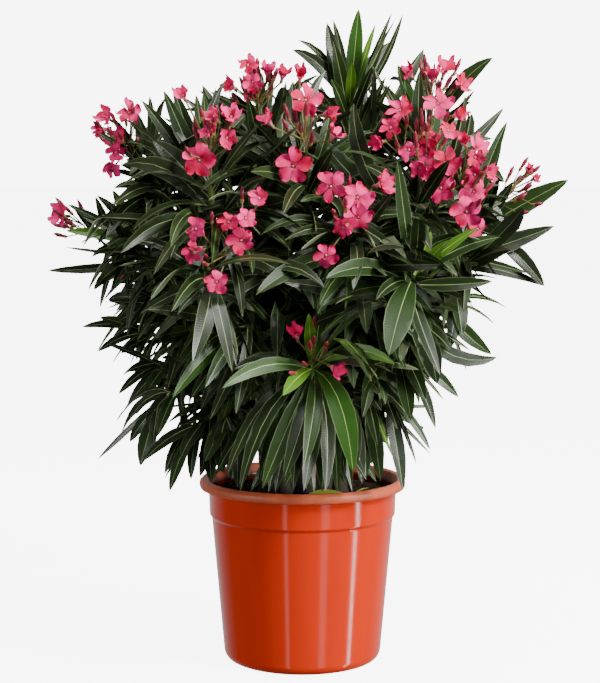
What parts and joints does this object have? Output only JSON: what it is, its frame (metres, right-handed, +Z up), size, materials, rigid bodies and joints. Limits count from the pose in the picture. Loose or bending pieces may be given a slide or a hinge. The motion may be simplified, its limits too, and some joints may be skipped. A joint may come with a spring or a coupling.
{
  "type": "potted oleander",
  "caption": "Multi-stemmed evergreen flowering shrub with narrow whorled leaves and heads of pink five-petalled blooms, growing in a round tapered plastic nursery pot.",
  "frame": {"origin": "centre of the pot's flat underside", "axes": "+Z up along the pot's axis; -Y is the front, which the plant shows to the viewer; +X is the viewer's right"},
  "size_m": [0.5997, 0.5215, 0.7409],
  "materials": {
    "pot_plastic": "gloss",
    "soil": "matte",
    "bark": "matte",
    "foliage": "satin"
  },
  "bodies": {
    "root": {"pot": "pot_plastic", "soil": "soil", "stem_centre": "bark", "bough_top_left": "bark", "bough_top_right": "bark", "bough_centre_head": "bark", "bough_back_top_right": "bark", "stem_left": "bark", "bough_left_arm": "bark", "bough_back_left": "bark", "bough_left_low": "bark", "stem_right": "bark", "bough_right_arm": "bark", "bough_back_right": "bark", "bough_right_low": "bark", "stem_front_left": "bark", "bough_left_front": "bark", "bough_left_middle": "bark", "bough_left_skirt": "bark", "stem_front_right": "bark", "bough_right_front": "bark", "bough_front_head": "bark", "bough_front_tuft": "bark", "bough_right_skirt": "bark", "stem_back": "bark", "bough_back_top_left": "bark", "bough_back_right_skirt": "bark", "bough_back_left_skirt": "bark", "foliage_crown_tip": "foliage", "foliage_top_left": "foliage", "foliage_top_right": "foliage", "foliage_centre_head": "foliage", "foliage_left_shoulder": "foliage", "foliage_left_front": "foliage", "foliage_left_arm": "foliage", "foliage_left_face": "foliage", "foliage_front_head": "foliage", "foliage_right_front": "foliage", "foliage_right_shoulder": "foliage", "foliage_right_arm": "foliage", "foliage_right_face": "foliage", "foliage_right_low": "foliage", "foliage_front_tuft": "foliage", "foliage_left_low": "foliage", "foliage_left_skirt": "foliage", "foliage_right_skirt": "foliage", "foliage_left_middle": "foliage", "foliage_back_top_left": "foliage", "foliage_back_top_right": "foliage", "foliage_back_left": "foliage", "foliage_back_right": "foliage", "foliage_back_face": "foliage", "foliage_back_left_skirt": "foliage", "foliage_back_right_skirt": "foliage"}
  },
  "joints": []
}
